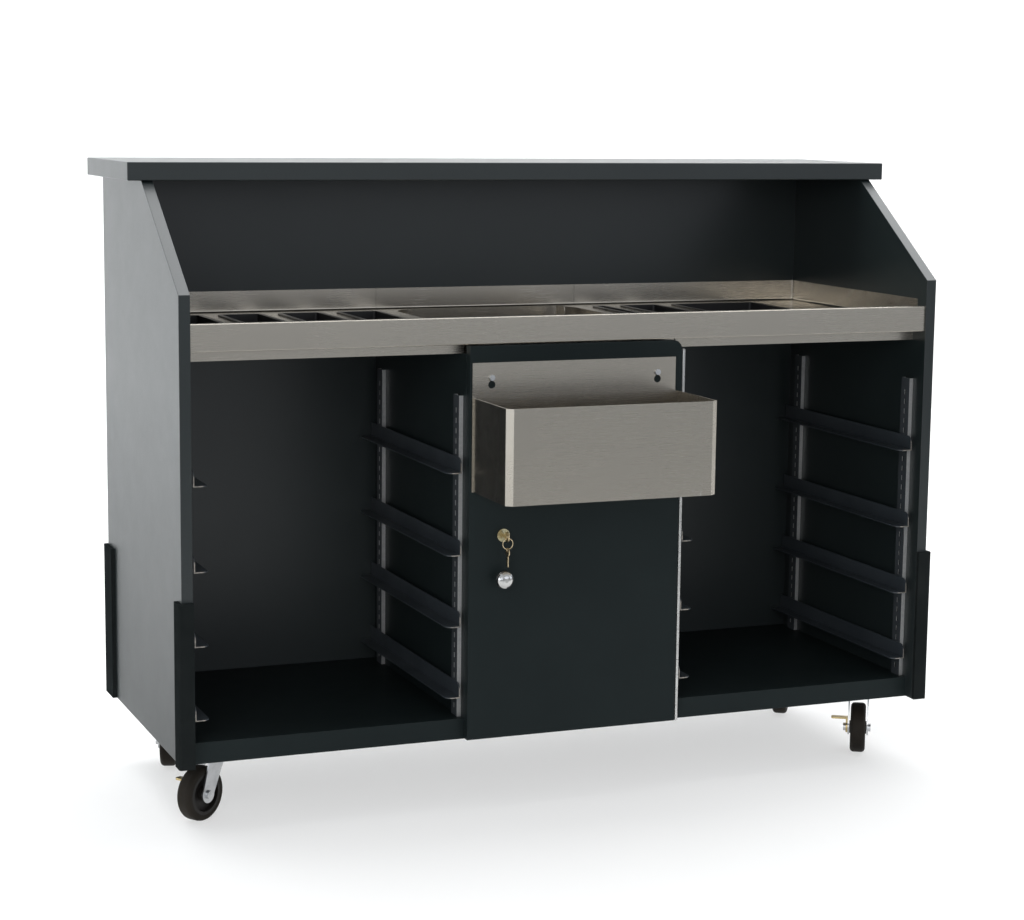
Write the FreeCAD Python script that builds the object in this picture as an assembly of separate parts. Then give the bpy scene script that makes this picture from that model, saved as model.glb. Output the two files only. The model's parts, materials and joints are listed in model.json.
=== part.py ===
import FreeCAD, Part
import math
import os

# A portable bar: a laminated carcass on swivel casters, with a raised bar top on the customers'
# side and a stainless work top, ice bin, rack bays and a locked cabinet on the working side.
# Millimetres. X runs along the bar, +Y points to the customers, +Z is up.
# The origin is on the floor, under the middle of the box that holds the whole bar.

# Carcass
bar_height = 1206.0
body_width = 1530.0
body_depth = 603.0
caster_height = 134.0
panel_thickness = 21.0
base_thickness = 40.0
base_setback = 24.0
customer_panel_recess = 37.0
slope_foot_height = 983.0
cabinet_width = 440.0
partition_thickness = 20.0
panel_edge_round = 1.0

# Bar top
bar_top_thickness = 34.0
bar_top_depth = 354.5
bar_end_overhang = 27.0
bar_front_overhang = 7.5
bar_rear_overhang = 16.0
bar_edge_round = 2.0

# Stainless work top
work_height = 902.0
sheet = 1.5
splash_rise = 42.5
side_splash_setback = 32.0
section_gap = 0.6
bend_round = 4.0
apron_setback = 4.0
apron_height = 49.5
apron_rise = 29.5
apron_top_width = 16.0
front_rail_setback = 46.0
front_rail_height = 39.0
front_rail_depth = 38.0
front_rail_wall = 2.0
front_rail_joint = 3.0
cleat_depth = 20.0

# Drop-in wells in the two side decks
left_well_count = 4
left_well_margin = 18.0
left_well_end_margin = 49.5
left_well_width_share = 0.757
right_well_margin = 8.0
right_well_gap = 28.5
tool_well_width = 34.0
garnish_well_share = 0.172
mixing_well_share = 0.38
well_front_setback = 150.0
well_rear_gap = 68.5
well_depth = 52.0
well_wall = 2.5
well_rim = 6.0
well_rim_height = 3.0
well_corner = 9.0
well_clearance = 0.5

# Ice bin
bin_side_clearance = 2.5
bin_front_clearance = 4.0
bin_rear_flange = 20.0
bin_step_depth = 24.0
bin_ledge = 20.0
bin_well_depth = 218.0
bin_step_corner = 55.0
bin_well_corner = 19.0
jacket_wall = 18.0
jacket_corner = 12.0
jacket_clearance = 0.3
divider_x = 88.0
divider_clearance = 0.5
divider_tab_width = 42.0
divider_tab_rise = 20.0
divider_tab_round = 8.0
guide_width = 10.0
guide_depth = 8.0

# Drain of the ice bin, with a shut-off valve
drain_radius = 19.0
drain_flange_radius = 28.0
drain_flange_height = 2.0
drain_clearance = 0.3
drain_nut_radius = 27.0
drain_nut_height = 9.0
tail_radius = 13.0
tail_bore_radius = 10.0
tail_length = 46.0
valve_radius = 20.0
valve_height = 42.0
spigot_radius = 10.5
spigot_bore_radius = 7.5
spigot_length = 32.0
stem_boss_radius = 10.0
stem_boss_length = 10.0
stem_radius = 5.0
stem_depth = 14.0
lever_length = 92.0
lever_width = 15.0
lever_thickness = 2.5

# Rack bays: slotted pilasters and hook-on slides
pilaster_width = 30.0
pilaster_depth = 8.0
pilaster_sheet = 1.5
pilaster_top_gap = 77.5
front_pilaster_setback = 39.0
rear_pilaster_gap = 65.0
slot_first = 18.8
slot_pitch = 19.4
slot_width = 5.0
slot_height = 10.0
rack_level_shares = (0.07, 0.31, 0.55, 0.83)
slide_front_setback = 22.5
slide_rear_gap = 3.0
slide_sheet = 2.0
slide_leg = 29.0
slide_ledge = 28.0
slide_corner = 14.0
hook_rise = 18.0
hook_width = 4.0
hook_height = 6.0
hook_throat = 0.3
hook_drop = 7.0
hook_sheet = 2.0

# Corner bumpers
bumper_height = 303.0
bumper_thickness = 8.0
bumper_front_leg = 25.0
bumper_rear_leg = 60.0
bumper_round = 5.0

# Cabinet door and its piano hinge
door_thickness = 19.0
door_gap = 3.0
door_bottom_gap = 2.0
door_corner = 18.0
hinge_strip = 9.0
leaf_sheet = 1.2
leaf_clearance = 0.3
leaf_width = 13.0
knuckle_radius = 3.4
knuckle_count = 24
knuckle_gap = 0.6
hinge_pin_radius = 1.5
hinge_pin_clearance = 0.06
hinge_pin_end = 1.0

# Knob
knob_x = -157.5
knob_drop = 80.0
knob_radius = 18.0
knob_reach = 35.0
knob_rose_radius = 9.0
knob_rose_height = 3.0
knob_neck_radius = 6.0
knob_neck_share = 0.36
knob_widest_share = 0.66
knob_flat_radius = 4.0

# Cam lock, key and spare key
lock_x = -152.0
lock_drop = 84.0
lock_flange_radius = 12.5
lock_flange_height = 3.0
lock_barrel_radius = 9.5
lock_barrel_reach = 9.0
lock_clearance = 0.2
lock_nut_radius = 14.0
lock_nut_height = 4.0
plug_radius = 6.0
plug_clearance = 0.05
plug_proud = 0.5
cam_thickness = 2.5
cam_width = 15.0
cam_tip_gap = 4.0
cam_screw_radius = 4.0
cam_screw_height = 2.5
strike_sheet = 2.0
strike_height = 40.0
strike_leg = 30.0
strike_lip = 14.0
strike_clearance = 1.2
key_thickness = 2.0
key_slot_clearance = 0.2
key_blade_height = 7.0
key_blade_depth = 17.0
key_neck = 7.0
key_bow_radius = 10.0
key_hole_radius = 3.6
key_hole_offset = 3.5
ring_radius = 10.0
ring_wire_radius = 0.9
ring_slack = 0.3
spare_bow_radius = 8.5
spare_blade_length = 19.0
spare_blade_width = 6.5

# Speed rail, hung on two screws on the door
rail_left_margin = 4.0
rail_width = 413.0
rail_depth = 169.0
rail_top_gap = 31.0
rail_plate_height = 240.0
rail_trough_height = 175.0
trough_left_inset = 3.0
trough_right_reach = 8.0
trough_bevel_width = 12.0
trough_bevel_depth = 9.0
rail_sheet = 1.5
rail_hem = 12.0
keyhole_inset = 38.0
keyhole_drop = 28.0
keyhole_slot_radius = 3.0
keyhole_eye_radius = 7.0
keyhole_travel = 13.0
rail_screw_radius = 2.6
rail_screw_head_radius = 5.5
rail_screw_head_height = 3.2
rail_screw_length = 14.0
rail_screw_clearance = 0.15

# Swivel casters
wheel_radius = 51.0
tread_width = 31.0
tread_round = 8.0
tyre_thickness = 12.0
hub_length = 35.0
hub_radius = 13.0
wheel_web = 12.0
wheel_rim_depth = 6.0
wheel_seat_clearance = 0.1
left_caster_inset = 84.0
right_caster_inset = 62.0
caster_setback = 137.0
caster_trail = 28.0
caster_headings = {"front_left": 215.0, "front_right": 239.0, "rear_left": 72.0, "rear_right": 236.0}
braked_casters = ("front_left", "front_right")
plate_length = 96.0
plate_width = 66.0
plate_thickness = 4.0
plate_corner = 8.0
race_radius = 25.0
race_height = 11.0
race_gap = 0.3
king_pin_radius = 6.0
king_pin_head_radius = 10.0
king_pin_head_height = 4.0
running_clearance = 0.06
crown_thickness = 3.0
crown_half_length = 25.0
fork_leg_thickness = 3.0
fork_leg_foot_radius = 16.0
fork_side_gap = 0.4
axle_radius = 4.75
axle_head_radius = 8.0
axle_head_height = 5.0
brake_disc_radius = 12.0
brake_disc_thickness = 4.0
brake_arm_width = 15.0
brake_arm_rise = 9.0
brake_arm_thickness = 3.5
brake_arm_reach = 30.0
brake_arm_round = 5.0
brake_gap = 0.3
bolt_spacing_length = 72.0
bolt_spacing_width = 44.0
bolt_radius = 4.0
bolt_clearance = 0.2
bolt_head_radius = 7.0
bolt_head_height = 5.5
bolt_depth = 26.0

# One overrun for every cut, and how far from straight an edge may be
overrun = 5.0
straight_share = 0.01

# Flats in each quarter of a turned round, and in the ring's wire
round_steps = 5
wire_sides = 8

# Places that follow from the sizes above
half_body = body_width / 2
inner_half = half_body - panel_thickness
cabinet_half = cabinet_width / 2
cabinet_inner = cabinet_half - partition_thickness
door_face_setback = base_setback - leaf_sheet - leaf_clearance - door_thickness
front = (rail_depth - door_face_setback - body_depth - bar_rear_overhang) / 2
rear = front + body_depth
base_front = front + base_setback
base_top = caster_height + base_thickness
back_outer = rear - customer_panel_recess
back_inner = back_outer - panel_thickness
slope_run = body_depth + bar_rear_overhang - bar_top_depth + bar_front_overhang
underside = bar_height - bar_top_thickness
bar_half = half_body + bar_end_overhang
bar_rear = rear + bar_rear_overhang
deck_under = work_height - sheet
splash_face = back_inner - sheet
apron_front = front + apron_setback
apron_top = work_height + apron_rise
apron_bottom = apron_top - apron_height
rail_bar_front = front + front_rail_setback
rail_bar_back = rail_bar_front + front_rail_depth
rail_bar_bottom = deck_under - front_rail_height
side_deck_width = inner_half - cabinet_half
left_well_room = side_deck_width - left_well_margin - left_well_end_margin
left_well_pitch = left_well_room / (left_well_count - 1 + left_well_width_share)
left_well_width = left_well_width_share * left_well_pitch
garnish_well_width = garnish_well_share * side_deck_width
mixing_well_width = mixing_well_share * side_deck_width
well_front = front + well_front_setback
well_length = splash_face - well_rear_gap - well_front
pilaster_top = rail_bar_bottom - pilaster_top_gap
rear_pilaster_setback = back_inner - rear_pilaster_gap - front
slot_room = pilaster_top - base_top - slot_first - slot_height
slot_count = int(slot_room / slot_pitch) + 1
rack_slots = [round(share * (slot_count - 1)) for share in rack_level_shares]
door_front = front + door_face_setback
door_back = door_front + door_thickness
door_left = -cabinet_half
door_right = cabinet_half - hinge_strip
door_top = apron_bottom - door_gap
door_bottom = caster_height + door_bottom_gap
hinge_x = door_right + leaf_sheet + knuckle_radius
hinge_y = door_front + knuckle_radius
rail_bottom = door_top - rail_top_gap - rail_plate_height
lock_height = rail_bottom - lock_drop
knob_height = lock_height - knob_drop

X_AXIS = FreeCAD.Vector(1, 0, 0)
Y_AXIS = FreeCAD.Vector(0, 1, 0)
Z_AXIS = FreeCAD.Vector(0, 0, 1)


# Inner faces of the bin's step and of its deep well, and the drain's stack below them
step_half = cabinet_inner - bin_side_clearance - sheet
step_front = rail_bar_back + bin_front_clearance + sheet
step_rear = splash_face - bin_rear_flange
bin_ledge_top = work_height - bin_step_depth
bin_well_half = step_half - bin_ledge
bin_well_front = step_front + bin_ledge
bin_well_rear = step_rear - bin_ledge
bin_floor = bin_ledge_top - bin_well_depth
bin_middle = (bin_well_front + bin_well_rear) / 2
jacket_bottom = bin_floor - sheet - jacket_clearance - jacket_wall
tail_end = jacket_bottom - tail_length
valve_end = tail_end - valve_height
spigot_end = valve_end - spigot_length
stem_z = (tail_end + valve_end) / 2
boss_end = bin_middle - valve_radius - stem_boss_length

# Outer end of the lock's plug, and the ring hole of the key in it
plug_start = door_front - lock_flange_height - plug_proud
key_bow_y = plug_start - key_neck - key_bow_radius
key_hole_y = key_bow_y - key_hole_offset


def point(x, y, z):
    return FreeCAD.Vector(x, y, z)


def block(x0, x1, y0, y1, z0, z1):
    """A box between two corners, given in either order."""
    corner = point(min(x0, x1), min(y0, y1), min(z0, z1))
    return Part.makeBox(abs(x1 - x0), abs(y1 - y0), abs(z1 - z0), corner)


def rod(radius, start, end):
    """A cylinder from one point to another."""
    return Part.makeCylinder(radius, (end - start).Length, start, end - start)


def upright_rod(radius, x, y, z0, z1):
    return rod(radius, point(x, y, z0), point(x, y, z1))


def level_rod(radius, x, z, y0, y1):
    return rod(radius, point(x, y0, z), point(x, y1, z))


def side_rod(radius, y, z, x0, x1):
    return rod(radius, point(x0, y, z), point(x1, y, z))


def prism(outline, run):
    """A closed outline of points, extruded along a vector."""
    return Part.Face(Part.makePolygon(outline + outline[:1])).extrude(run)


def joined(first, *others):
    """One solid from pieces that share faces or overlap."""
    return first.fuse(list(others)).removeSplitter()


def rounded(shape, radius, chosen):
    """Fillet the edges whose middle and direction the function accepts."""
    edges = []
    for edge in shape.Edges:
        start = edge.valueAt(edge.FirstParameter)
        end = edge.valueAt(edge.LastParameter)
        if chosen((start + end) / 2, end - start):
            edges.append(edge)
    return shape.makeFillet(radius, edges)


def is_along(direction, axis):
    return direction.Length > 0 and direction.cross(axis).Length < straight_share * direction.Length


def rounded_slab(x0, x1, y0, y1, z0, z1, radius):
    """A box with its upright edges rounded."""
    return rounded(block(x0, x1, y0, y1, z0, z1), radius, lambda middle, run: is_along(run, Z_AXIS))


def turned(edges, centre, axis):
    """A solid of revolution from the edges of a closed half profile."""
    return Part.Face(Part.Wire(edges)).revolve(centre, axis, 360)


def lines(points):
    """The straight edges of an open chain of points."""
    return [Part.makeLine(start, end) for start, end in zip(points, points[1:])]


def quarter(start, corner, end):
    """Points of a quarter round from start to end, inside the corner."""
    points = []
    for step in range(round_steps + 1):
        turn = math.pi / 2 * step / round_steps
        points.append(
            corner + (start - corner) * (1 - math.sin(turn)) + (end - corner) * (1 - math.cos(turn)))
    return points


def make_bar_top():
    slab = block(-bar_half, bar_half, bar_rear - bar_top_depth, bar_rear, underside, bar_height)
    return slab.makeFillet(bar_edge_round, slab.Edges)


def make_end_panel(side):
    """End panel whose upper front corner slopes back to the bar top."""
    outer = side * half_body
    outline = [
        point(outer, front, caster_height),
        point(outer, rear, caster_height),
        point(outer, rear, underside),
        point(outer, front + slope_run, underside),
        point(outer, front, slope_foot_height),
    ]
    panel = prism(outline, point(-side * panel_thickness, 0, 0))
    return panel.makeFillet(panel_edge_round, panel.Edges)


def make_customer_panel():
    return block(-inner_half, inner_half, back_inner, back_outer, caster_height, underside)


def make_base():
    slab = block(-inner_half, inner_half, base_front, back_inner, caster_height, base_top)
    slab = rounded(slab, panel_edge_round, lambda middle, run: is_along(run, X_AXIS) and middle.y < 0)
    hole_radius = bolt_radius + bolt_clearance
    holes = []
    for x, y in all_bolt_places():
        top = caster_height + bolt_depth + bolt_clearance
        holes.append(upright_rod(hole_radius, x, y, caster_height - overrun, top))
    return slab.cut(holes)


def make_partition(side):
    """Upright between cabinet and rack bay, notched under the front rails."""
    outer = side * cabinet_half
    outline = [
        point(outer, base_front, base_top),
        point(outer, back_inner, base_top),
        point(outer, back_inner, deck_under),
        point(outer, rail_bar_back, deck_under),
        point(outer, rail_bar_back, rail_bar_bottom),
        point(outer, base_front, rail_bar_bottom),
    ]
    return prism(outline, point(-side * partition_thickness, 0, 0))


def make_front_rails():
    """Square tubes under the front of the three work top sections."""
    seam = cabinet_half - partition_thickness / 4
    spans = (
        (-inner_half, -seam - front_rail_joint / 2),
        (-seam + front_rail_joint / 2, seam - front_rail_joint / 2),
        (seam + front_rail_joint / 2, inner_half),
    )
    tubes = []
    for x0, x1 in spans:
        tube = block(x0, x1, rail_bar_front, rail_bar_back, rail_bar_bottom, deck_under)
        bore = block(
            x0 - overrun, x1 + overrun,
            rail_bar_front + front_rail_wall, rail_bar_back - front_rail_wall,
            rail_bar_bottom + front_rail_wall, deck_under - front_rail_wall,
        )
        tubes.append(tube.cut(bore))
    return Part.makeCompound(tubes)


def make_rear_cleats():
    cleats = []
    for side in (-1, 1):
        cleats.append(block(
            side * cabinet_half, side * inner_half,
            back_inner - cleat_depth, back_inner, rail_bar_bottom, deck_under,
        ))
    return Part.makeCompound(cleats)


def make_front_apron():
    """Marine edge: a folded stainless nosing along the whole front of the work top."""
    back = apron_front + apron_top_width
    face = block(-inner_half, inner_half, apron_front, apron_front + sheet, apron_bottom, apron_top)
    top = block(-inner_half, inner_half, apron_front, back, apron_top - sheet, apron_top)
    heel = block(-inner_half, inner_half, back - sheet, back, work_height, apron_top)
    foot = block(
        -inner_half, inner_half, apron_front, rail_bar_front, apron_bottom, apron_bottom + sheet)
    apron = joined(face, top, heel, foot)
    return rounded(
        apron, sheet,
        lambda middle, run: is_along(run, X_AXIS) and abs(middle.y - apron_front) < sheet / 2)


def well_spans():
    """Outer ends in X of each drop-in well's rim, by name."""
    spans = {}
    for number in range(left_well_count):
        inner = -(cabinet_half + left_well_margin + number * left_well_pitch)
        spans["bottle_well_%d" % (number + 1)] = (inner - left_well_width, inner)
    start = cabinet_half + right_well_margin
    for name, width in (
        ("tool_well", tool_well_width),
        ("garnish_well", garnish_well_width),
        ("mixing_well", mixing_well_width),
    ):
        spans[name] = (start, start + width)
        start += width + right_well_gap
    return spans


def make_deck(side):
    """Side section of the work top: a tray with a rear and an end splash and cut-outs for wells."""
    inner = side * (cabinet_half + section_gap / 2)
    outer = side * inner_half
    tray_front = apron_front + sheet
    plate = block(inner, outer, tray_front, back_inner, deck_under, work_height)
    splash = block(inner, outer, splash_face, back_inner, deck_under, work_height + splash_rise)
    end = block(
        outer, outer - side * sheet, front + side_splash_setback, back_inner,
        deck_under, work_height + splash_rise,
    )
    deck = joined(plate, splash, end)
    deck = rounded(deck, bend_round, lambda middle, run: is_inner_bend(middle, run, outer - side * sheet))
    for x0, x1 in well_spans().values():
        if x0 * side > 0:
            deck = deck.cut(rounded_slab(
                x0 + well_rim, x1 - well_rim, well_front + well_rim, well_front + well_length - well_rim,
                deck_under - overrun, work_height + overrun, well_corner,
            ))
    return deck


def is_inner_bend(middle, run, end_face):
    """The inner fold lines where a splash rises from the tray or meets the end splash."""
    on_tray = abs(middle.z - work_height) < sheet / 2
    at_splash = abs(middle.y - splash_face) < sheet / 2
    at_end = abs(middle.x - end_face) < sheet / 2
    if is_along(run, X_AXIS):
        return on_tray and at_splash
    if is_along(run, Y_AXIS):
        return on_tray and at_end
    return at_splash and at_end


def make_well(x0, x1):
    """A moulded drop-in well that hangs by its rim in a deck's cut-out."""
    y0 = well_front
    y1 = well_front + well_length
    rim_top = work_height + well_rim_height
    inset = well_rim + well_clearance
    rim = rounded_slab(x0, x1, y0, y1, work_height, rim_top, well_corner + well_rim)
    body = rounded_slab(
        x0 + inset, x1 - inset, y0 + inset, y1 - inset,
        rim_top - well_depth, rim_top, well_corner - well_clearance,
    )
    wall = inset + well_wall
    hollow = rounded_slab(
        x0 + wall, x1 - wall, y0 + wall, y1 - wall,
        rim_top - well_depth + well_wall, rim_top + overrun, well_corner - well_clearance - well_wall,
    )
    return joined(rim, body).cut(hollow)


def make_ice_bin():
    """Stainless bin: flange, rear splash, a step that carries covers, and a deep well with a drain."""
    flange_half = cabinet_half - section_gap / 2
    flange = block(-flange_half, flange_half, apron_front + sheet, back_inner, deck_under, work_height)
    splash = block(
        -flange_half, flange_half, splash_face, back_inner, deck_under, work_height + splash_rise)
    top = joined(flange, splash)
    top = rounded(
        top, bend_round,
        lambda middle, run: is_along(run, X_AXIS) and abs(middle.y - splash_face) < sheet / 2
        and abs(middle.z - work_height) < sheet / 2)
    step_shell = rounded_slab(
        -step_half - sheet, step_half + sheet, step_front - sheet, step_rear + sheet,
        bin_ledge_top - sheet, work_height, bin_step_corner + sheet)
    well_shell = rounded_slab(
        -bin_well_half - sheet, bin_well_half + sheet, bin_well_front - sheet, bin_well_rear + sheet,
        bin_floor - sheet, bin_ledge_top, bin_well_corner + sheet)
    step_space = rounded_slab(
        -step_half, step_half, step_front, step_rear,
        bin_ledge_top, work_height + overrun, bin_step_corner)
    well_space = rounded_slab(
        -bin_well_half, bin_well_half, bin_well_front, bin_well_rear,
        bin_floor, bin_ledge_top + overrun, bin_well_corner)
    hollow = joined(top, step_shell, well_shell).cut([step_space, well_space])
    hole = upright_rod(
        drain_radius + drain_clearance, 0, bin_middle, bin_floor - sheet - overrun, bin_floor + overrun)
    guides = []
    slot_half = sheet / 2 + divider_clearance
    ends = (
        (bin_well_front, bin_well_front + guide_depth), (bin_well_rear - guide_depth, bin_well_rear))
    for y0, y1 in ends:
        for x0, x1 in ((-slot_half - guide_width, -slot_half), (slot_half, slot_half + guide_width)):
            guides.append(block(divider_x + x0, divider_x + x1, y0, y1, bin_floor, bin_ledge_top))
    return joined(hollow.cut(hole), *guides)


def make_bin_jacket():
    """Foam jacket round the well, hung under the step."""
    gap = sheet + jacket_clearance
    wall = gap + jacket_wall
    outer = rounded_slab(
        -bin_well_half - wall, bin_well_half + wall, bin_well_front - wall, bin_well_rear + wall,
        jacket_bottom, bin_ledge_top - sheet, jacket_corner)
    inner = rounded_slab(
        -bin_well_half - gap, bin_well_half + gap, bin_well_front - gap, bin_well_rear + gap,
        bin_floor - gap, bin_ledge_top + overrun, bin_well_corner + gap)
    hole = upright_rod(
        drain_radius + drain_clearance, 0, bin_middle, jacket_bottom - overrun, bin_floor)
    return outer.cut([inner, hole])


def make_bin_divider():
    """Removable plate across the bin, with a finger tab that stands above the work top."""
    x0 = divider_x - sheet / 2
    x1 = divider_x + sheet / 2
    plate = block(
        x0, x1, bin_well_front + divider_clearance, bin_well_rear - divider_clearance,
        bin_floor, bin_ledge_top)
    tab = block(
        x0, x1, bin_middle - divider_tab_width / 2, bin_middle + divider_tab_width / 2,
        bin_floor, work_height + divider_tab_rise)
    tab = rounded(
        tab, divider_tab_round,
        lambda place, run: is_along(run, X_AXIS) and place.z > work_height)
    return joined(plate, tab)


def make_bin_drain():
    """Strainer flange, threaded body with its nut, tail pipe, valve body and hose spigot."""
    nut_bottom = jacket_bottom - drain_nut_height
    flange = upright_rod(drain_flange_radius, 0, bin_middle, bin_floor, bin_floor + drain_flange_height)
    body = upright_rod(drain_radius, 0, bin_middle, nut_bottom, bin_floor)
    nut = upright_rod(drain_nut_radius, 0, bin_middle, nut_bottom, jacket_bottom)
    tail = upright_rod(tail_radius, 0, bin_middle, tail_end, jacket_bottom)
    valve = upright_rod(valve_radius, 0, bin_middle, valve_end, tail_end)
    spigot = upright_rod(spigot_radius, 0, bin_middle, spigot_end, valve_end)
    boss = level_rod(stem_boss_radius, 0, stem_z, bin_middle, boss_end)
    solid = joined(flange, body, nut, tail, valve, spigot, boss)
    top_bore = upright_rod(tail_bore_radius, 0, bin_middle, tail_end, bin_floor + overrun)
    end_bore = upright_rod(spigot_bore_radius, 0, bin_middle, spigot_end - overrun, valve_end)
    bore_end = boss_end + stem_depth + running_clearance
    stem_bore = level_rod(stem_radius + running_clearance, 0, stem_z, boss_end - overrun, bore_end)
    return solid.cut([top_bore, end_bore, stem_bore])


def make_drain_lever():
    """Valve stem with a flat quarter-turn lever, drawn closed."""
    face = boss_end - race_gap
    stem = level_rod(stem_radius, 0, stem_z, boss_end + stem_depth, face - lever_thickness)
    hub = level_rod(lever_width / 2, 0, stem_z, face, face - lever_thickness)
    arm = block(
        0, lever_length, face - lever_thickness, face,
        stem_z - lever_width / 2, stem_z + lever_width / 2)
    tip = level_rod(lever_width / 2, lever_length, stem_z, face, face - lever_thickness)
    return joined(stem, hub, arm, tip)


def bay_walls():
    """The four walls that carry slides: X of the face, and the way into the bay."""
    return ((-inner_half, 1), (-cabinet_half, -1), (cabinet_half, 1), (inner_half, -1))


def pilaster_setbacks():
    return front_pilaster_setback, rear_pilaster_setback


def slot_height_at(number):
    return base_top + slot_first + number * slot_pitch


def make_pilaster(wall, way, setback):
    """Slotted channel standing on the base, open towards the wall."""
    y0 = front + setback
    y1 = y0 + pilaster_width
    face = wall + way * pilaster_depth
    channel = block(wall, face, y0, y1, base_top, pilaster_top)
    hollow = block(
        wall - way * overrun, face - way * pilaster_sheet, y0 + pilaster_sheet, y1 - pilaster_sheet,
        base_top - overrun, pilaster_top + overrun)
    middle = (y0 + y1) / 2
    slots = []
    for number in range(slot_count):
        z = slot_height_at(number)
        slots.append(block(
            wall, face + way * overrun, middle - slot_width / 2, middle + slot_width / 2,
            z - slot_height / 2, z + slot_height / 2))
    return channel.cut([hollow] + slots)


def make_pilasters():
    strips = []
    for wall, way in bay_walls():
        for setback in pilaster_setbacks():
            strips.append(make_pilaster(wall, way, setback))
    return Part.makeCompound(strips)


def make_slide(wall, way, slot_number):
    """Angle that carries a glass rack, with a hook in one slot of each pilaster."""
    web = wall + way * pilaster_depth
    leg_in = web + way * slide_sheet
    tip = web + way * slide_ledge
    y0 = front + slide_front_setback
    y1 = back_inner - slide_rear_gap
    hook_z = slot_height_at(slot_number)
    z0 = hook_z - hook_rise
    leg = block(web, leg_in, y0, y1, z0, z0 + slide_leg)
    leg = rounded(
        leg, slide_corner,
        lambda middle, run: is_along(run, X_AXIS) and middle.z > hook_z
        and abs(middle.y - y0) < slide_sheet)
    ledge = block(web, tip, y0, y1, z0, z0 + slide_sheet)
    ledge = rounded(
        ledge, slide_corner,
        lambda middle, run: is_along(run, Z_AXIS) and abs(middle.x - tip) < slide_sheet)
    pieces = [ledge]
    shank_end = web - way * (pilaster_sheet + hook_throat + hook_sheet)
    hook_y0 = (pilaster_width - hook_width) / 2
    for setback in pilaster_setbacks():
        y = front + setback + hook_y0
        bottom = hook_z - slot_height / 2 + hook_throat
        pieces.append(block(web, shank_end, y, y + hook_width, bottom, bottom + hook_height))
        pieces.append(block(
            shank_end + way * hook_sheet, shank_end, y, y + hook_width,
            bottom - hook_drop, bottom + hook_height))
    return joined(leg, *pieces)


def make_rack_slides():
    slides = []
    for wall, way in bay_walls():
        for slot_number in rack_slots:
            slides.append(make_slide(wall, way, slot_number))
    return Part.makeCompound(slides)


def make_bumper(side, edge, outward, side_leg):
    """Angle guard on the lower corner of an end panel."""
    inner = side * half_body
    outer = inner + side * bumper_thickness
    face = edge + outward * bumper_thickness
    outline = [
        point(outer, face, caster_height),
        point(outer, edge - outward * side_leg, caster_height),
        point(inner, edge - outward * side_leg, caster_height),
        point(inner, edge, caster_height),
        point(inner - side * panel_thickness, edge, caster_height),
        point(inner - side * panel_thickness, face, caster_height),
    ]
    guard = prism(outline, point(0, 0, bumper_height))
    guard = rounded(
        guard, bumper_round,
        lambda middle, run: is_along(run, Z_AXIS)
        and abs(middle.x - outer) + abs(middle.y - face) < bumper_thickness)
    return guard


def make_corner_bumpers():
    guards = []
    for side in (-1, 1):
        guards.append(make_bumper(side, front, -1, bumper_front_leg))
        guards.append(make_bumper(side, rear, 1, bumper_rear_leg))
    return Part.makeCompound(guards)


def keyhole_places():
    """Screw places of the speed rail on the door: X and height."""
    left = door_left + rail_left_margin
    height = door_top - rail_top_gap - keyhole_drop
    return ((left + keyhole_inset, height), (left + rail_width - keyhole_inset, height))


def make_door():
    slab = block(door_left, door_right, door_front, door_back, door_bottom, door_top)
    slab = rounded(
        slab, door_corner,
        lambda middle, run: is_along(run, Y_AXIS) and middle.x > 0 and middle.z > lock_height)
    slab = rounded(
        slab, panel_edge_round, lambda middle, run: abs(middle.y - door_front) < panel_edge_round)
    near = door_front - overrun
    holes = [
        level_rod(lock_barrel_radius + lock_clearance, lock_x, lock_height, near, door_back + overrun)]
    screw_end = door_front + rail_screw_length + rail_screw_clearance
    for x, z in keyhole_places():
        holes.append(level_rod(rail_screw_radius + rail_screw_clearance, x, z, near, screw_end))
    return slab.cut(holes)


def knuckle_spans():
    """Heights of the hinge's knuckles, alternately on the frame and on the door."""
    pitch = (door_top - door_bottom - door_corner) / knuckle_count
    spans = []
    for number in range(knuckle_count):
        bottom = door_bottom + number * pitch
        spans.append((number % 2, bottom + knuckle_gap / 2, bottom + pitch - knuckle_gap / 2))
    return spans


def knuckles(owner):
    tubes = []
    for which, bottom, top in knuckle_spans():
        if which == owner:
            tubes.append(upright_rod(knuckle_radius, hinge_x, hinge_y, bottom, top))
    return tubes


def knuckle_reliefs(owner):
    """Room in one leaf for the knuckles of the other."""
    gap = knuckle_gap / 2
    radius = knuckle_radius + leaf_clearance
    reliefs = []
    for which, bottom, top in knuckle_spans():
        if which != owner:
            reliefs.append(upright_rod(radius, hinge_x, hinge_y, bottom - gap, top + gap))
    return reliefs


def hinge_bore(clearance):
    bottom = door_bottom - overrun
    top = door_top + overrun
    return upright_rod(hinge_pin_radius + clearance, hinge_x, hinge_y, bottom, top)


def make_door_leaf():
    """Hinge leaf on the edge of the door, with every second knuckle."""
    top = door_top - door_corner
    leaf = block(
        door_right, door_right + leaf_sheet, hinge_y, hinge_y + leaf_width, door_bottom, top)
    web = block(door_right, hinge_x, hinge_y, hinge_y + leaf_sheet, door_bottom, top)
    whole = joined(leaf, web, *knuckles(1))
    return whole.cut(knuckle_reliefs(1) + [hinge_bore(hinge_pin_clearance)])


def make_frame_leaf():
    """Hinge leaf that stands on the partition's front edge behind the door, with the other knuckles."""
    top = door_top - door_corner
    foot = block(
        hinge_x + leaf_sheet, hinge_x - leaf_width, base_front - leaf_sheet, base_front, door_bottom, top)
    web = block(hinge_x, hinge_x + leaf_sheet, hinge_y, base_front, door_bottom, top)
    whole = joined(foot, web, *knuckles(0))
    return whole.cut(knuckle_reliefs(0) + [hinge_bore(hinge_pin_clearance)])


def make_hinge_pin():
    bottom = door_bottom - hinge_pin_end
    top = door_top - door_corner + hinge_pin_end
    return upright_rod(hinge_pin_radius, hinge_x, hinge_y, bottom, top)


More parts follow.
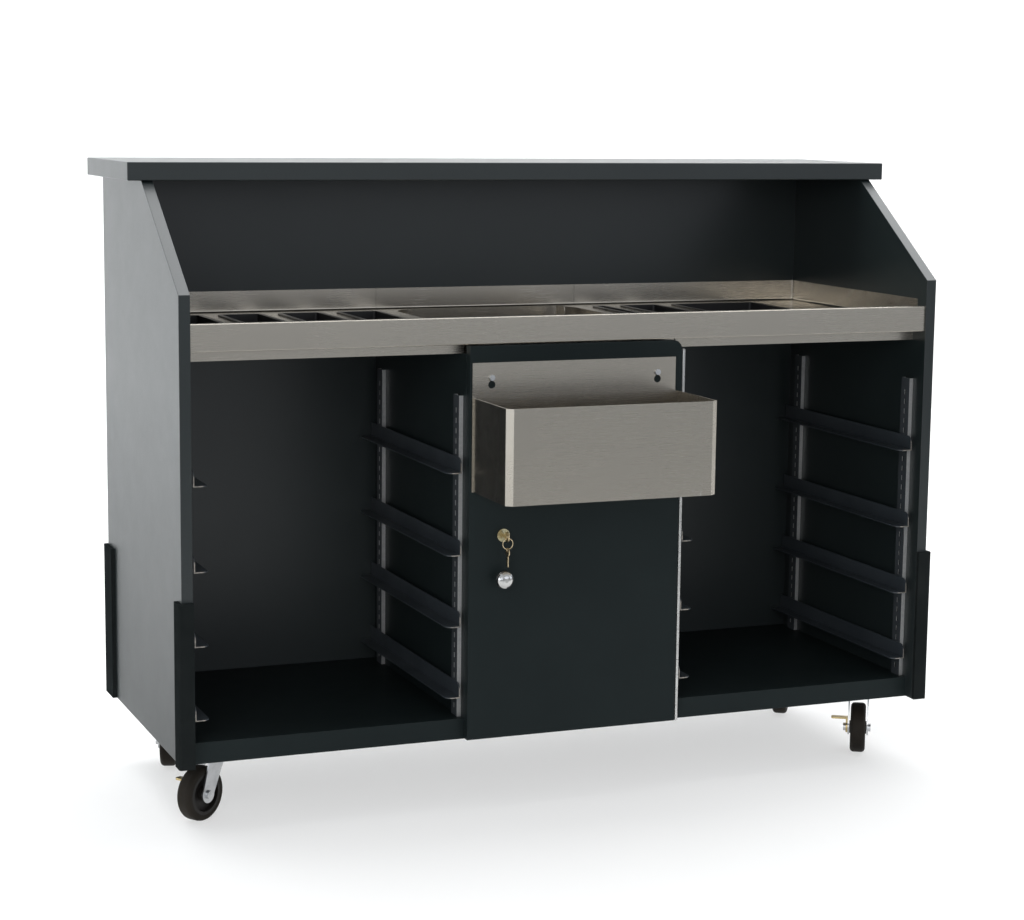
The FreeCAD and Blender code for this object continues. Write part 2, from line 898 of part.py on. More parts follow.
def make_door_knob():
    """Turned mushroom knob on a small rose."""

    def at(radius, reach):
        return point(knob_x + radius, door_front - reach, knob_height)

    neck_end = knob_neck_share * knob_reach
    widest = knob_widest_share * knob_reach
    outline = [
        at(0, knob_reach), at(0, 0), at(knob_rose_radius, 0), at(knob_rose_radius, knob_rose_height),
        at(knob_neck_radius, knob_rose_height)]
    outline += quarter(at(knob_neck_radius, neck_end), at(knob_radius, neck_end), at(knob_radius, widest))
    crown = quarter(
        at(knob_radius, widest), at(knob_radius, knob_reach), at(knob_flat_radius, knob_reach))
    outline += crown[1:]
    return turned(lines(outline + outline[:1]), at(0, 0), Y_AXIS)


def barrel_end():
    return door_back + lock_barrel_reach


def make_lock_body():
    """Lock barrel with its rose and a nut behind the door."""
    def at(y):
        return point(lock_x, y, lock_height)

    rose = rod(lock_flange_radius, at(door_front - lock_flange_height), at(door_front))
    barrel = rod(lock_barrel_radius, at(door_front), at(barrel_end()))
    bore = rod(
        plug_radius + plug_clearance,
        at(door_front - lock_flange_height - overrun), at(barrel_end() + overrun))
    nut = rod(lock_nut_radius, at(door_back), at(door_back + lock_nut_height))
    return joined(rose, barrel, nut).cut(bore)


def make_lock_plug():
    """Turning plug with an upright key slot."""
    plug = level_rod(plug_radius, lock_x, lock_height, plug_start, barrel_end() + race_gap)
    half_slot = key_thickness / 2 + key_slot_clearance
    half_height = key_blade_height / 2 + key_slot_clearance
    slot = block(
        lock_x - half_slot, lock_x + half_slot,
        plug_start - overrun, plug_start + key_blade_depth + key_slot_clearance,
        lock_height - half_height, lock_height + half_height)
    return plug.cut(slot)


def cam_face():
    return barrel_end() + race_gap


def make_lock_cam():
    """Cam on the plug's tail, pointing down while the door is unlocked."""
    y0 = cam_face()
    y1 = y0 + cam_thickness
    reach = cabinet_inner + lock_x - cam_tip_gap - cam_width / 2
    bar = block(
        lock_x - cam_width / 2, lock_x + cam_width / 2, y0, y1, lock_height - reach, lock_height)
    ends = [
        level_rod(cam_width / 2, lock_x, z, y0, y1)
        for z in (lock_height, lock_height - reach)]
    screw = level_rod(cam_screw_radius, lock_x, lock_height, y1, y1 + cam_screw_height)
    return joined(bar, *ends, screw)


def make_lock_strike():
    """Angle on the left partition that the cam turns behind."""
    wall = -cabinet_inner
    lip_back = cam_face() - strike_clearance
    z0 = lock_height - strike_height / 2
    z1 = lock_height + strike_height / 2
    leg = block(wall, wall + strike_sheet, lip_back - strike_sheet, lip_back + strike_leg, z0, z1)
    lip = block(wall, wall + strike_lip, lip_back - strike_sheet, lip_back, z0, z1)
    return joined(leg, lip)


def make_door_key():
    x0 = lock_x - key_thickness / 2
    x1 = lock_x + key_thickness / 2
    blade = block(
        x0, x1, key_bow_y, plug_start + key_blade_depth,
        lock_height - key_blade_height / 2, lock_height + key_blade_height / 2)
    bow = side_rod(key_bow_radius, key_bow_y, lock_height, x0, x1)
    hole = side_rod(key_hole_radius, key_hole_y, lock_height, x0 - overrun, x1 + overrun)
    return joined(blade, bow).cut(hole)


def ring_top():
    """Height of the ring's wire where it hangs in the key's bow."""
    return lock_height - key_hole_radius + ring_wire_radius + ring_slack


def make_spare_key():
    """Wire ring in the key's bow, with a second key hanging from it."""
    ring_centre = point(lock_x, key_hole_y, ring_top() - ring_radius)
    wire = []
    for side in range(wire_sides):
        turn = 2 * math.pi * side / wire_sides
        reach = ring_radius + ring_wire_radius * math.cos(turn)
        wire.append(ring_centre + point(reach, ring_wire_radius * math.sin(turn), 0))
    ring = turned(lines(wire + wire[:1]), ring_centre, Y_AXIS)
    x0 = lock_x - key_thickness / 2
    x1 = lock_x + key_thickness / 2
    hole_z = ring_top() - 2 * ring_radius - key_hole_radius + ring_wire_radius + ring_slack
    bow_z = hole_z - key_hole_offset
    bow = side_rod(spare_bow_radius, key_hole_y, bow_z, x0, x1)
    bottom = bow_z - spare_bow_radius - spare_blade_length
    blade = block(
        x0, x1, key_hole_y - spare_blade_width / 2, key_hole_y + spare_blade_width / 2, bottom, bow_z)
    hole = side_rod(key_hole_radius, key_hole_y, hole_z, x0 - overrun, x1 + overrun)
    return Part.makeCompound([ring, joined(bow, blade).cut(hole)])


def trough_block(inset, back, z0, z1):
    """The trough's plan with its two bevelled front corners, moved in by the inset."""
    x0 = door_left + rail_left_margin + trough_left_inset + inset
    x1 = door_left + rail_left_margin + rail_width + trough_right_reach - inset
    y0 = door_front - rail_depth + inset
    lean = math.atan2(trough_bevel_width, trough_bevel_depth)
    depth = trough_bevel_depth - inset + inset * math.tan(lean / 2)
    width = trough_bevel_width - inset + inset * math.tan(math.pi / 4 - lean / 2)
    outline = [
        point(x0, back, z0),
        point(x0, y0 + depth, z0),
        point(x0 + width, y0, z0),
        point(x1 - width, y0, z0),
        point(x1, y0 + depth, z0),
        point(x1, back, z0),
    ]
    return prism(outline, point(0, 0, z1 - z0))


def make_speed_rail():
    """Folded bottle trough with a back plate that hangs on two keyholes."""
    x0 = door_left + rail_left_margin
    z0 = rail_bottom
    top = z0 + rail_plate_height
    rim = z0 + rail_trough_height
    plate_face = door_front - rail_sheet
    back = block(x0, x0 + rail_width, plate_face, door_front, z0, top)
    tray = trough_block(0, door_front, z0, rim)
    space = trough_block(rail_sheet, plate_face, z0 + rail_sheet, rim + overrun)
    hem_outer = trough_block(0, door_front, rim - rail_hem, rim)
    hem_inner = trough_block(2 * rail_sheet, plate_face, rim - rail_hem - overrun, rim + overrun)
    whole = joined(back, tray.cut(space), hem_outer.cut(hem_inner))
    for x, z in keyhole_places():
        slot_bottom = z - keyhole_travel
        near = plate_face - overrun
        far = door_front + overrun
        whole = whole.cut([
            level_rod(keyhole_slot_radius, x, z, near, far),
            block(x - keyhole_slot_radius, x + keyhole_slot_radius, near, far, slot_bottom, z),
            level_rod(keyhole_eye_radius, x, slot_bottom, near, far),
        ])
    return whole


def make_rail_screws():
    """Two screws in the door that carry the speed rail."""
    screws = []
    for x, z in keyhole_places():
        head_back = door_front - rail_sheet - race_gap
        shank = level_rod(rail_screw_radius, x, z, head_back, door_front + rail_screw_length)
        head = level_rod(rail_screw_head_radius, x, z, head_back - rail_screw_head_height, head_back)
        screws.append(joined(shank, head))
    return Part.makeCompound(screws)


def caster_places():
    """Swivel axis of each caster, by corner."""
    x_left = left_caster_inset - half_body
    x_right = half_body - right_caster_inset
    y_front = front + caster_setback
    y_rear = rear - caster_setback
    return {
        "front_left": (x_left, y_front),
        "front_right": (x_right, y_front),
        "rear_left": (x_left, y_rear),
        "rear_right": (x_right, y_rear),
    }


def all_bolt_places():
    places = []
    for x, y in caster_places().values():
        for way_x in (-1, 1):
            for way_y in (-1, 1):
                places.append((x + way_x * bolt_spacing_width / 2, y + way_y * bolt_spacing_length / 2))
    return places


def plate_bottom():
    return caster_height - plate_thickness


def crown_top():
    return plate_bottom() - race_height - race_gap


def fork_inner():
    """Half the gap between a fork's legs."""
    return hub_length / 2 + fork_side_gap


def make_caster_plates():
    """Top plate with its swivel race and king pin, one at each corner."""
    plates = []
    for x, y in caster_places().values():
        plate = rounded_slab(
            x - plate_width / 2, x + plate_width / 2, y - plate_length / 2, y + plate_length / 2,
            plate_bottom(), caster_height, plate_corner)
        race = upright_rod(race_radius, x, y, plate_bottom() - race_height, plate_bottom())
        head_top = crown_top() - crown_thickness - race_gap
        pin = upright_rod(king_pin_radius, x, y, head_top, plate_bottom())
        head = upright_rod(king_pin_head_radius, x, y, head_top - king_pin_head_height, head_top)
        plates.append(joined(plate, race, pin, head))
    radius = bolt_radius + bolt_clearance
    holes = []
    for x, y in all_bolt_places():
        holes.append(upright_rod(radius, x, y, plate_bottom() - overrun, caster_height + overrun))
    return Part.makeCompound([plate.cut(holes) for plate in plates])


def make_caster_bolts():
    bolts = []
    for x, y in all_bolt_places():
        shank = upright_rod(bolt_radius, x, y, plate_bottom(), caster_height + bolt_depth)
        head = upright_rod(bolt_head_radius, x, y, plate_bottom() - bolt_head_height, plate_bottom())
        bolts.append(joined(shank, head))
    return Part.makeCompound(bolts)


def turned_to_corner(shape, corner):
    """Turn a caster piece, drawn with its trail along +X at the origin, to its corner of the bar."""
    x, y = caster_places()[corner]
    placed = shape.copy()
    placed.rotate(point(0, 0, 0), Z_AXIS, caster_headings[corner])
    placed.translate(point(x, y, 0))
    return placed


def make_fork():
    """Pressed fork: a crown on the king pin and two tapering legs down to the axle."""
    half = fork_inner() + fork_leg_thickness
    top = crown_top()
    crown = rounded_slab(
        -crown_half_length, crown_half_length, -half, half, top - crown_thickness, top, crown_thickness)
    legs = []
    for side in (-1, 1):
        inner = side * fork_inner()
        outline = [
            point(-crown_half_length + crown_thickness, inner, top),
            point(crown_half_length - crown_thickness, inner, top),
            point(caster_trail + fork_leg_foot_radius, inner, wheel_radius),
            point(caster_trail - fork_leg_foot_radius, inner, wheel_radius),
        ]
        run = point(0, side * fork_leg_thickness, 0)
        legs.append(prism(outline, run))
        foot = point(caster_trail, inner, wheel_radius)
        legs.append(rod(fork_leg_foot_radius, foot, foot + run))
    fork = joined(crown, *legs)
    pin_hole = upright_rod(king_pin_radius + running_clearance, 0, 0, top - overrun, top + overrun)
    axle_hole = level_rod(
        axle_radius + running_clearance, caster_trail, wheel_radius, -half - overrun, half + overrun)
    return fork.cut([pin_hole, axle_hole])


def make_axle(braked):
    """Axle bolt with its head and nut outside the fork, longer where it carries a brake lever."""
    half = fork_inner() + fork_leg_thickness
    near = -half
    if braked:
        near -= brake_disc_thickness + 2 * brake_gap
    ends = ((near, near - axle_head_height), (half, half + axle_head_height))
    shank = level_rod(axle_radius, caster_trail, wheel_radius, near, half)
    heads = [
        level_rod(axle_head_radius, caster_trail, wheel_radius, y0, y1)
        for y0, y1 in ends]
    return joined(shank, *heads)


def make_brake_lever():
    """Side brake: a disc on the axle with a pedal that stands out sideways."""
    far = -(fork_inner() + fork_leg_thickness + brake_gap)
    near = far - brake_disc_thickness
    disc = level_rod(brake_disc_radius, caster_trail, wheel_radius, near, far)
    x0 = caster_trail - brake_arm_width / 2
    x1 = caster_trail + brake_arm_width / 2
    foot = wheel_radius + axle_head_radius + brake_gap
    top = wheel_radius + brake_disc_radius + brake_arm_rise
    riser = block(x0, x1, near, far, foot, top)
    pedal = block(x0, x1, near - brake_arm_reach, far, top - brake_arm_thickness, top)
    pedal = rounded(
        pedal, brake_arm_round,
        lambda middle, run: is_along(run, Z_AXIS) and middle.y < near - brake_arm_reach / 2)
    hole = level_rod(
        axle_radius + running_clearance, caster_trail, wheel_radius, near - overrun, far + overrun)
    return joined(disc, riser, pedal).cut(hole)


def make_wheel_core():
    """Moulded wheel centre: hub, web and rim on one axis."""
    half_hub = hub_length / 2
    half_rim = tread_width / 2 - wheel_seat_clearance
    half_web = wheel_web / 2
    rim_out = wheel_radius - tyre_thickness
    rim_in = rim_out - wheel_rim_depth
    bore = axle_radius + running_clearance

    def at(radius, y):
        return point(caster_trail + radius, y, wheel_radius)

    outline = [
        at(bore, -half_hub), at(hub_radius, -half_hub), at(hub_radius, -half_web), at(rim_in, -half_web),
        at(rim_in, -half_rim), at(rim_out, -half_rim), at(rim_out, half_rim), at(rim_in, half_rim),
        at(rim_in, half_web), at(hub_radius, half_web), at(hub_radius, half_hub), at(bore, half_hub),
    ]
    return turned(lines(outline + outline[:1]), at(0, 0), Y_AXIS)


def make_tyre():
    """Rubber tread, rounded at its shoulders."""
    half = tread_width / 2
    inner = wheel_radius - tyre_thickness + wheel_seat_clearance
    shoulder = wheel_radius - tread_round

    def at(radius, y):
        return point(caster_trail + radius, y, wheel_radius)

    outline = quarter(
        at(wheel_radius, tread_round - half), at(wheel_radius, -half), at(shoulder, -half))
    outline += [at(inner, -half), at(inner, half)]
    outline += quarter(
        at(shoulder, half), at(wheel_radius, half), at(wheel_radius, half - tread_round))
    return turned(lines(outline + outline[:1]), at(0, 0), Y_AXIS)


def make_casters():
    """Fork, axle, wheel core, tyre and any brake lever of each corner, by node name."""
    pieces = {}
    for corner in caster_places():
        braked = corner in braked_casters
        pieces[corner + "_fork"] = make_fork()
        pieces[corner + "_axle"] = make_axle(braked)
        pieces[corner + "_wheel"] = make_wheel_core()
        pieces[corner + "_tyre"] = make_tyre()
        if braked:
            pieces[corner + "_brake_lever"] = make_brake_lever()
        for name in list(pieces):
            if name.startswith(corner):
                pieces[name] = turned_to_corner(pieces[name], corner)
    return pieces


def make_parts():
    parts = {
        "bar_top": make_bar_top(),
        "left_end_panel": make_end_panel(-1),
        "right_end_panel": make_end_panel(1),
        "customer_panel": make_customer_panel(),
        "base": make_base(),
        "left_partition": make_partition(-1),
        "right_partition": make_partition(1),
        "front_rails": make_front_rails(),
        "rear_cleats": make_rear_cleats(),
        "front_apron": make_front_apron(),
        "left_deck": make_deck(-1),
        "right_deck": make_deck(1),
        "ice_bin": make_ice_bin(),
        "bin_jacket": make_bin_jacket(),
        "bin_divider": make_bin_divider(),
        "bin_drain": make_bin_drain(),
        "drain_lever": make_drain_lever(),
        "pilasters": make_pilasters(),
        "rack_slides": make_rack_slides(),
        "corner_bumpers": make_corner_bumpers(),
        "door": make_door(),
        "door_hinge_leaf": make_door_leaf(),
        "frame_hinge_leaf": make_frame_leaf(),
        "hinge_pin": make_hinge_pin(),
        "door_knob": make_door_knob(),
        "lock_body": make_lock_body(),
        "lock_plug": make_lock_plug(),
        "lock_cam": make_lock_cam(),
        "lock_strike": make_lock_strike(),
        "door_key": make_door_key(),
        "spare_key": make_spare_key(),
        "speed_rail": make_speed_rail(),
        "rail_screws": make_rail_screws(),
        "caster_plates": make_caster_plates(),
        "caster_bolts": make_caster_bolts(),
    }
    for name, (x0, x1) in well_spans().items():
        parts[name] = make_well(x0, x1)
    parts.update(make_casters())
    return parts


def main():
    os.makedirs("parts", exist_ok=True)
    for name, shape in make_parts().items():
        shape.exportStep(os.path.join("parts", name + ".step"))


main()
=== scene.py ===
import json
import math

import bpy
from mathutils import Matrix, Vector

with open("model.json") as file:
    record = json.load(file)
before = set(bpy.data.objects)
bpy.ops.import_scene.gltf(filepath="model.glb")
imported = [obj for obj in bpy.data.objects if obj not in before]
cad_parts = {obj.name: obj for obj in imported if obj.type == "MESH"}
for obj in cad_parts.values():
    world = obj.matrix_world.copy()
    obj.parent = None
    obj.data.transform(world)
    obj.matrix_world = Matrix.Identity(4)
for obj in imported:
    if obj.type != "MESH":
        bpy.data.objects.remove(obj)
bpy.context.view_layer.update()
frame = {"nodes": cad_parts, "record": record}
scene = bpy.context.scene

# Camera, solved from the edges of the photograph: metres, radians and photograph pixels.
# The sensor's width in millimetres is Blender's own and only sets the lens.
PHOTO_WIDTH = 1024
FOCAL_PIXELS = 2319.3
CAMERA_PLACE = Vector((-1.7353, -4.1685, 1.3116))
CAMERA_YAW = 0.3852
CAMERA_PITCH = 0.1508
CAMERA_ROLL = 0.0113
SENSOR_WIDTH = 36.0

# Studio: a white paper sweep behind and under the bar, a soft box above it and four lamps
SWEEP_HALF_WIDTH = 60.0
SWEEP_FRONT = -60.0
SWEEP_REAR = 4.2
SWEEP_BEND = 1.2
SWEEP_BEND_STEPS = 16
SWEEP_HEIGHT = 4.5
SWEEP_COLOUR = (0.90, 0.90, 0.89)
SWEEP_FIBRE_SHADE = 0.985
# In front of the bar the floor fades from grey to white between these two places along Y
SWEEP_FRONT_COLOUR = (0.44, 0.44, 0.435)
SWEEP_FADE = (-2.4, -1.15)
# Share of plain white in the paper, as the camera and reflections see it
SWEEP_WHITE_SHARE = 0.55
# Room light by height of the direction it comes from, -1 straight down to 1 straight up
ROOM = (
    (-0.30, (0.035, 0.045, 0.040)),
    (-0.16, (0.13, 0.145, 0.14)),
    (-0.08, (0.48, 0.50, 0.53)),
    (-0.02, (1.22, 1.28, 1.40)),
    (0.10, (1.28, 1.34, 1.45)),
    (0.40, (0.56, 0.58, 0.60)),
)
LAMPS = {
    # name: (place, looks at, width, height, power in watts, colour)
    "soft_box": ((0.6, 0.7, 3.3), (0.6, 0.7, 0.0), 5.4, 2.4, 170.0, (0.98, 0.99, 1.0)),
    "left_backdrop_lamp": ((-3.0, 1.6, 3.4), (-3.0, 4.2, 1.6), 4.0, 1.2, 170.0, (0.88, 0.95, 1.0)),
    "right_backdrop_lamp": ((3.4, 1.6, 3.4), (3.4, 4.2, 1.0), 4.0, 1.2, 110.0, (1.0, 1.0, 1.0)),
    "front_fill": ((-3.4, -4.8, 2.8), (0.0, 0.0, 0.8), 2.0, 2.0, 62.0, (1.0, 0.98, 0.96)),
    "left_card": ((-3.2, -2.8, 0.4), (-0.2, -0.4, 0.7), 1.4, 2.2, 10.0, (0.95, 0.97, 1.0)),
}

# Laminate: edges rubbed paler, and how much rougher it is at the lower of two heights
RUBBED_WIDTH = 0.0016
RUBBED_SHARE = 0.35
RUBBED_COLOUR = (0.10, 0.11, 0.12)
SCUFF_ROUGHNESS = 0.17
SCUFF_HEIGHTS = (0.20, 0.80)
# An edge is where the rounded normal leaves the true one: cosines at a full and at no edge
EDGE_COSINES = (0.75, 0.99)
EDGE_SAMPLES = 4
# Scale of brush lines and wood grain along X, Y and Z
BRUSH_STRETCH = (12.0, 1800.0, 1800.0)
WOOD_STRETCH = (6.0, 160.0, 160.0)
# Nicks in the brushed sheet
NICK_STRETCH = (1.0, 1.0, 0.3)
NICK_COLOUR = (0.74, 0.73, 0.71)


class Shader:
    """A principled material put together from a few kinds of node, in metres of object space."""

    def __init__(self, name, **sockets):
        self.material = bpy.data.materials.new(name)
        self.material.use_nodes = True
        tree = self.material.node_tree
        self.nodes = tree.nodes
        self.links = tree.links
        self.principled = self.nodes["Principled BSDF"]
        self.space = self.nodes.new("ShaderNodeTexCoord").outputs["Object"]
        for socket, value in sockets.items():
            self.principled.inputs[socket.replace("_", " ")].default_value = value

    def link(self, source, target):
        self.links.new(source, target)

    def feed(self, socket, source):
        self.link(source, self.principled.inputs[socket])

    def geometry(self, output):
        return self.nodes.new("ShaderNodeNewGeometry").outputs[output]

    def noise(self, scale, detail=3.0, roughness=0.55, stretch=(1.0, 1.0, 1.0)):
        mapping = self.nodes.new("ShaderNodeMapping")
        mapping.inputs["Scale"].default_value = stretch
        self.link(self.space, mapping.inputs["Vector"])
        node = self.nodes.new("ShaderNodeTexNoise")
        node.inputs["Scale"].default_value = scale
        node.inputs["Detail"].default_value = detail
        node.inputs["Roughness"].default_value = roughness
        self.link(mapping.outputs["Vector"], node.inputs["Vector"])
        return node.outputs["Fac"]

    def cells(self, scale):
        node = self.nodes.new("ShaderNodeTexVoronoi")
        node.inputs["Scale"].default_value = scale
        self.link(self.space, node.inputs["Vector"])
        return node.outputs["Distance"]

    def along(self, axis, vector=None):
        """One coordinate of a vector, or of the place on the piece."""
        node = self.nodes.new("ShaderNodeSeparateXYZ")
        self.link(vector or self.space, node.inputs["Vector"])
        return node.outputs[axis]

    def ramp(self, source, low, high, low_at=0.3, high_at=0.7):
        """Colour between low and high, as the source goes from low_at to high_at."""
        node = self.nodes.new("ShaderNodeValToRGB")
        for element, place, colour in zip(node.color_ramp.elements, (low_at, high_at), (low, high)):
            element.position = place
            element.color = (*colour, 1.0)
        self.link(source, node.inputs["Fac"])
        return node.outputs["Color"]

    def between(self, source, low, high, low_at=0.3, high_at=0.7):
        """Number between low and high, as the source goes from low_at to high_at."""
        node = self.nodes.new("ShaderNodeMapRange")
        limits = {"From Min": low_at, "From Max": high_at, "To Min": low, "To Max": high}
        for socket, value in limits.items():
            node.inputs[socket].default_value = value
        self.link(source, node.inputs["Value"])
        return node.outputs["Result"]

    def maths(self, operation, first, second):
        node = self.nodes.new("ShaderNodeMath")
        node.operation = operation
        for socket, value in zip(node.inputs, (first, second)):
            if isinstance(value, float):
                socket.default_value = value
            else:
                self.link(value, socket)
        return node.outputs["Value"]

    def mixed(self, factor, first, second):
        """Colour that goes from the first to the second."""
        node = self.nodes.new("ShaderNodeMix")
        node.data_type = "RGBA"
        self.link(factor, node.inputs["Factor"])
        places = [socket for socket in node.inputs if socket.type == "RGBA"]
        for place, value in zip(places, (first, second)):
            if isinstance(value, tuple):
                place.default_value = (*value, 1.0)
            else:
                self.link(value, place)
        return [socket for socket in node.outputs if socket.type == "RGBA"][0]

    def blended(self, factor, first, second):
        """Shader that goes from the first to the second."""
        node = self.nodes.new("ShaderNodeMixShader")
        self.link(factor, node.inputs["Fac"])
        self.link(first, node.inputs[1])
        self.link(second, node.inputs[2])
        return node.outputs["Shader"]

    def edges(self, width):
        """Mask that is 1 on sharp edges and fades out within the width."""
        bevel = self.nodes.new("ShaderNodeBevel")
        bevel.samples = EDGE_SAMPLES
        bevel.inputs["Radius"].default_value = width
        dot = self.nodes.new("ShaderNodeVectorMath")
        dot.operation = "DOT_PRODUCT"
        self.link(bevel.outputs["Normal"], dot.inputs[0])
        self.link(self.geometry("Normal"), dot.inputs[1])
        return self.between(dot.outputs["Value"], 1.0, 0.0, *EDGE_COSINES)

    def bump(self, height, strength, distance):
        node = self.nodes.new("ShaderNodeBump")
        node.inputs["Strength"].default_value = strength
        node.inputs["Distance"].default_value = distance
        self.link(height, node.inputs["Height"])
        self.feed("Normal", node.outputs["Normal"])


def laminate(name, dark, light, gloss, shine):
    """Black laminate on board: a fine pebbled skin, faint smears and edges rubbed a little paler.

    It is scuffed towards the floor.
    """
    made = Shader(name, IOR=1.5, Specular_IOR_Level=shine)
    cloud = made.ramp(made.noise(scale=3.0, detail=4.0, roughness=0.6), dark, light)
    patches = made.between(made.noise(scale=40.0), 0.0, RUBBED_SHARE)
    rubbed = made.maths("MULTIPLY", made.edges(RUBBED_WIDTH), patches)
    made.feed("Base Color", made.mixed(rubbed, cloud, RUBBED_COLOUR))
    smear = made.noise(scale=14.0, detail=6.0, roughness=0.7)
    smears = made.between(smear, low=gloss - 0.012, high=gloss + 0.018)
    scuffs = made.between(made.along("Z"), SCUFF_ROUGHNESS, 0.0, *SCUFF_HEIGHTS)
    made.feed("Roughness", made.maths("ADD", smears, scuffs))
    pebbles = made.noise(scale=1100.0, detail=2.0)
    made.bump(pebbles, strength=0.08, distance=0.0002)
    return made.material


def brushed(name, dark, light, rough):
    """Stainless sheet with fine brush lines along X and a few nicks."""
    made = Shader(name, Metallic=1.0, Anisotropic=0.4)
    lines = made.noise(scale=1.0, detail=5.0, roughness=0.65, stretch=BRUSH_STRETCH)
    cloud = made.noise(scale=5.0)
    tone = made.maths("ADD", made.maths("MULTIPLY", lines, 0.5), made.maths("MULTIPLY", cloud, 0.5))
    spots = made.noise(scale=90.0, detail=2.0, roughness=0.5, stretch=NICK_STRETCH)
    nicks = made.between(spots, low=0.0, high=0.35, low_at=0.74, high_at=0.80)
    made.feed("Base Color", made.mixed(nicks, made.ramp(tone, dark, light), NICK_COLOUR))
    made.feed("Roughness", made.between(tone, low=rough + 0.02, high=rough - 0.02))
    made.bump(lines, strength=0.005, distance=0.0001)
    return made.material


def metal(name, dark, light, rough, spread, scale):
    """Plated or polished metal with slight clouding."""
    made = Shader(name, Metallic=1.0)
    cloud = made.noise(scale, detail=5.0, roughness=0.6)
    made.feed("Base Color", made.ramp(cloud, dark, light))
    made.feed("Roughness", made.between(cloud, low=rough + spread, high=rough - spread))
    made.bump(made.noise(scale * 8.0), strength=0.05, distance=0.0001)
    return made.material


def moulded(name, dark, light, rough, grain_scale, grain_depth, shine=0.5):
    """Moulded plastic, rubber or powder coat with an even fine grain."""
    made = Shader(name, IOR=1.48, Specular_IOR_Level=shine)
    cloud = made.noise(scale=9.0, detail=4.0, roughness=0.6)
    made.feed("Base Color", made.ramp(cloud, dark, light))
    made.feed("Roughness", made.between(cloud, low=rough + 0.06, high=rough - 0.06))
    made.bump(made.noise(grain_scale, detail=2.0), strength=0.35, distance=grain_depth)
    return made.material


def cut_sheet_with_painted_highlight(name, dark, light, rough, bare_and_highlight, least_bare_and_highlight):
    """Dark sheet whose faces towards the front show at least that share of a pale colour: a painted
    highlight, partly bare metal where those faces are cut edges.
    """
    made = Shader(name, IOR=1.5)
    cloud = made.noise(scale=9.0, detail=4.0, roughness=0.6)
    painted = made.ramp(cloud, dark, light)
    # Faces towards the front get the pale colour: painted highlight, partly bare metal on cut edges
    facing = made.along("Y", made.geometry("Normal"))
    ahead = made.between(facing, low=0.9, high=0.0, low_at=-0.98, high_at=-0.9)
    chips = made.between(made.noise(scale=160.0, detail=2.0), low=least_bare_and_highlight, high=1.0)
    bare_and_highlight_share = made.maths("MULTIPLY", ahead, chips)
    made.feed("Base Color", made.mixed(bare_and_highlight_share, painted, bare_and_highlight))
    made.feed("Metallic", made.maths("MULTIPLY", bare_and_highlight_share, 0.8))
    made.feed("Roughness", made.between(cloud, low=rough + 0.05, high=rough - 0.05))
    made.bump(made.noise(scale=1100.0, detail=2.0), strength=0.2, distance=0.0002)
    return made.material


def timber(name, dark, light):
    """Raw softwood with grain along X."""
    made = Shader(name, IOR=1.45)
    grain = made.noise(scale=1.0, detail=6.0, roughness=0.6, stretch=WOOD_STRETCH)
    made.feed("Base Color", made.ramp(grain, dark, light))
    made.feed("Roughness", made.between(grain, low=0.75, high=0.6))
    made.bump(grain, strength=0.2, distance=0.0004)
    return made.material


def foam(name, dark, light):
    """Rigid foam, darker between its bubbles."""
    made = Shader(name, IOR=1.4)
    bubbles = made.cells(scale=260.0)
    made.feed("Base Color", made.ramp(bubbles, light, dark, low_at=0.1, high_at=0.6))
    made.feed("Roughness", made.between(bubbles, low=0.85, high=0.95))
    made.bump(bubbles, strength=0.4, distance=0.0008)
    return made.material


BLACK = {"dark": (0.0092, 0.0136, 0.0140), "light": (0.0122, 0.0174, 0.0178)}
